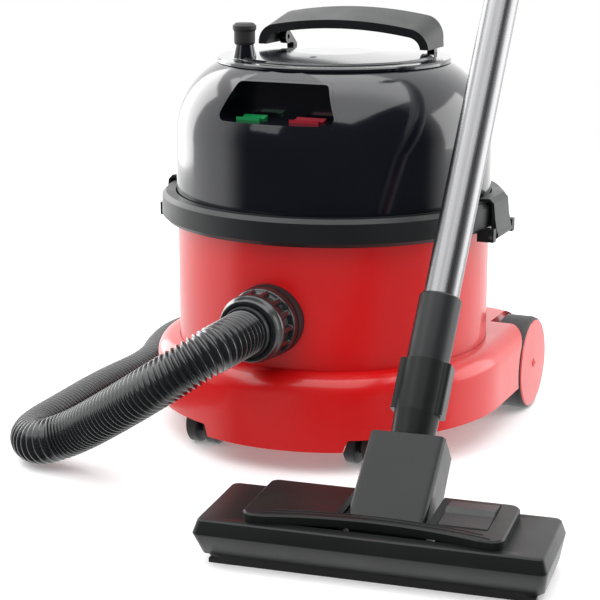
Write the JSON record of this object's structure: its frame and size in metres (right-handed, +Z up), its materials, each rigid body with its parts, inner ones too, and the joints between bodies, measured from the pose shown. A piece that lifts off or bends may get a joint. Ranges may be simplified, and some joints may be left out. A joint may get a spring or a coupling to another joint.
{
  "type": "tub vacuum cleaner",
  "caption": "Wheeled tub vacuum cleaner with a domed motor head, ribbed hose, steel wand and wide floor tool.",
  "frame": {"origin": "on the floor under the middle of the tub", "axes": "+Z up, -Y to the front where the hose leaves, +X to the side where the floor tool stands"},
  "size_m": [0.7735, 1.0223, 0.8542],
  "materials": {
    "red_plastic": "moulded, soft gloss",
    "dark_plastic": "fine grain, satin",
    "black_gloss": "high gloss",
    "black_matte": "satin",
    "tool_plastic": "fine grain, satin",
    "rubber": "matte",
    "tread": "matte",
    "hose_plastic": "ribbed, satin",
    "steel": "brushed along its length",
    "steel_bright": "turned",
    "green_switch": "gloss",
    "red_switch": "gloss",
    "filter_fabric": "needle felt",
    "bag_fabric": "fleece",
    "motor_metal": "satin",
    "copper": "lacquered windings",
    "aluminium": "spun",
    "bristle": "bristle strip"
  },
  "bodies": {
    "machine": {"tub_shell": "red_plastic", "chassis_skirt": "red_plastic", "bumper_ring": "dark_plastic", "latch_pins": "steel_bright", "rear_axle": "steel_bright", "axle_brackets": "black_matte", "inlet_socket": "black_matte", "hose_cuff": "dark_plastic", "bag_collar": "bag_fabric", "dust_bag": "bag_fabric", "filter_ring": "black_matte", "filter_cloth": "filter_fabric", "hose_tube": "hose_plastic", "hose_tail": "hose_plastic", "hose_end_cuff": "dark_plastic"},
    "latch_left": {"latch_left": "dark_plastic"},
    "latch_right": {"latch_right": "dark_plastic"},
    "wheel_left": {"tyre_left": "tread", "wheel_disc_left": "red_plastic"},
    "wheel_right": {"tyre_right": "tread", "wheel_disc_right": "red_plastic"},
    "caster_left": {"caster_fork_left": "black_matte"},
    "caster_right": {"caster_fork_right": "black_matte"},
    "caster_wheels_left": {"caster_wheels_left": "tread"},
    "caster_wheels_right": {"caster_wheels_right": "tread"},
    "collar": {"hose_collar": "dark_plastic"},
    "head": {"head_dome": "black_gloss", "head_pan": "black_matte", "head_seal": "rubber", "top_cover": "black_gloss", "switch_tray": "black_gloss", "motor_housing": "motor_metal", "motor_field": "copper", "winder_deck": "black_matte", "head_screws": "steel_bright", "cable_outlet_bush": "rubber"},
    "handle": {"carry_handle": "dark_plastic"},
    "power_rocker": {"power_rocker": "green_switch"},
    "speed_rocker": {"speed_rocker": "red_switch"},
    "rotor": {"motor_shaft": "steel_bright", "armature": "copper", "impeller": "aluminium"},
    "winder": {"winder_disc": "black_gloss", "cable_drum": "black_matte"},
    "knob": {"winder_knob": "rubber"},
    "floor_tool": {"tool_cover": "tool_plastic", "tool_pod": "tool_plastic", "sole_plate": "black_matte", "neck_bearings": "black_matte"},
    "pedal": {"brush_pedal": "tool_plastic"},
    "brushes": {"brush_strips": "bristle"},
    "roller_left": {"tool_roller_left": "black_matte"},
    "roller_right": {"tool_roller_right": "black_matte"},
    "neck": {"neck_block": "tool_plastic"},
    "elbow": {"elbow_tube": "tool_plastic", "wand_sleeve": "dark_plastic"},
    "wand": {"wand_tube": "steel"},
    "hand": {"hand_tube": "steel", "hand_grip": "dark_plastic"},
    "bleed": {"bleed_slider": "dark_plastic"}
  },
  "joints": [
    {"name": "latch_left_swing", "type": "hinge", "parent": "machine", "child": "latch_left", "pos_m": [-0.1798, 0, 0.216], "axis": [0, -1, 0], "range_deg": [0, 100]},
    {"name": "latch_right_swing", "type": "hinge", "parent": "machine", "child": "latch_right", "pos_m": [0.1798, 0, 0.216], "axis": [0, 1, 0], "range_deg": [0, 100]},
    {"name": "wheel_left_spin", "type": "hinge", "parent": "machine", "child": "wheel_left", "pos_m": [-0.165, 0.122, 0.0495], "axis": [1, 0, 0], "continuous": true},
    {"name": "caster_left_swivel", "type": "hinge", "parent": "machine", "child": "caster_left", "pos_m": [-0.085, -0.108, 0.05], "axis": [0, 0, 1], "continuous": true},
    {"name": "caster_left_roll", "type": "hinge", "parent": "caster_left", "child": "caster_wheels_left", "pos_m": [-0.085, -0.122, 0.02], "axis": [1, 0, 0], "continuous": true},
    {"name": "wheel_right_spin", "type": "hinge", "parent": "machine", "child": "wheel_right", "pos_m": [0.165, 0.122, 0.0495], "axis": [1, 0, 0], "continuous": true},
    {"name": "caster_right_swivel", "type": "hinge", "parent": "machine", "child": "caster_right", "pos_m": [0.085, -0.108, 0.05], "axis": [0, 0, 1], "continuous": true},
    {"name": "caster_right_roll", "type": "hinge", "parent": "caster_right", "child": "caster_wheels_right", "pos_m": [0.085, -0.122, 0.02], "axis": [1, 0, 0], "continuous": true},
    {"name": "collar_turn", "type": "hinge", "parent": "machine", "child": "collar", "pos_m": [0, -0.19, 0.145], "axis": [0, -1, 0], "range_deg": [0, 30]},
    {"name": "head_lift", "type": "slide", "parent": "machine", "child": "head", "axis": [0, 0, 1], "range_m": [0, 0.12]},
    {"name": "handle_fold", "type": "hinge", "parent": "head", "child": "handle", "pos_m": [0, 0.055, 0.393], "axis": [-1, 0, 0], "range_deg": [0, 45]},
    {"name": "power_rocker_tilt", "type": "hinge", "parent": "head", "child": "power_rocker", "pos_m": [-0.033, -0.124, 0.3298], "axis": [1, 0, 0], "range_deg": [-7, 7]},
    {"name": "speed_rocker_tilt", "type": "hinge", "parent": "head", "child": "speed_rocker", "pos_m": [0.025, -0.124, 0.3298], "axis": [1, 0, 0], "range_deg": [-7, 7]},
    {"name": "motor_spin", "type": "hinge", "parent": "head", "child": "rotor", "pos_m": [0, 0, 0.29], "axis": [0, 0, 1], "continuous": true},
    {"name": "winder_turn", "type": "hinge", "parent": "head", "child": "winder", "pos_m": [0, 0, 0.38], "axis": [0, 0, 1], "range_deg": [-34, 130]},
    {"name": "knob_spin", "type": "hinge", "parent": "winder", "child": "knob", "pos_m": [-0.07, -0.062, 0.408], "axis": [0, 0, 1], "continuous": true},
    {"name": "tool_place", "type": "slide", "parent": "machine", "child": "floor_tool", "axis": [0.108, -0.9942, 0], "range_m": [0, 0.3]},
    {"name": "pedal_tilt", "type": "hinge", "parent": "floor_tool", "child": "pedal", "pos_m": [0.26194, -0.33837, 0.045], "axis": [0.9942, 0.108, 0], "range_deg": [0, 12]},
    {"name": "brush_raise", "type": "slide", "parent": "floor_tool", "child": "brushes", "axis": [0, 0, 1], "range_m": [0, 0.006]},
    {"name": "roller_left_spin", "type": "hinge", "parent": "floor_tool", "child": "roller_left", "pos_m": [0.07741, -0.33427, 0.0084], "axis": [0.9942, 0.108, 0], "continuous": true},
    {"name": "roller_right_spin", "type": "hinge", "parent": "floor_tool", "child": "roller_right", "pos_m": [0.29513, -0.31062, 0.0084], "axis": [0.9942, 0.108, 0], "continuous": true},
    {"name": "neck_tilt", "type": "hinge", "parent": "floor_tool", "child": "neck", "pos_m": [0.19403, -0.33367, 0.027], "axis": [-0.9942, -0.108, 0], "range_deg": [-35, 5]},
    {"name": "elbow_swivel", "type": "hinge", "parent": "neck", "child": "elbow", "pos_m": [0.18701, -0.26905, 0.087], "axis": [-0.079, 0.7271, 0.682], "range_deg": [0, 90]},
    {"name": "wand_pull", "type": "slide", "parent": "elbow", "child": "wand", "axis": [0.0004, 0.5292, 0.8485], "range_m": [0, 0.03]},
    {"name": "hand_turn", "type": "hinge", "parent": "wand", "child": "hand", "pos_m": [0.18725, 0.04001, 0.58251], "axis": [0.0004, 0.5292, 0.8485], "range_deg": [-90, 90]},
    {"name": "bleed_slide", "type": "slide", "parent": "hand", "child": "bleed", "axis": [0.0689, -0.101, 0.9925], "range_m": [-0.01, 0.024]}
  ],
  "couplings": [
    {"joint": "brush_raise", "follows": "pedal_tilt", "m_per_rad": 0.028648}
  ]
}
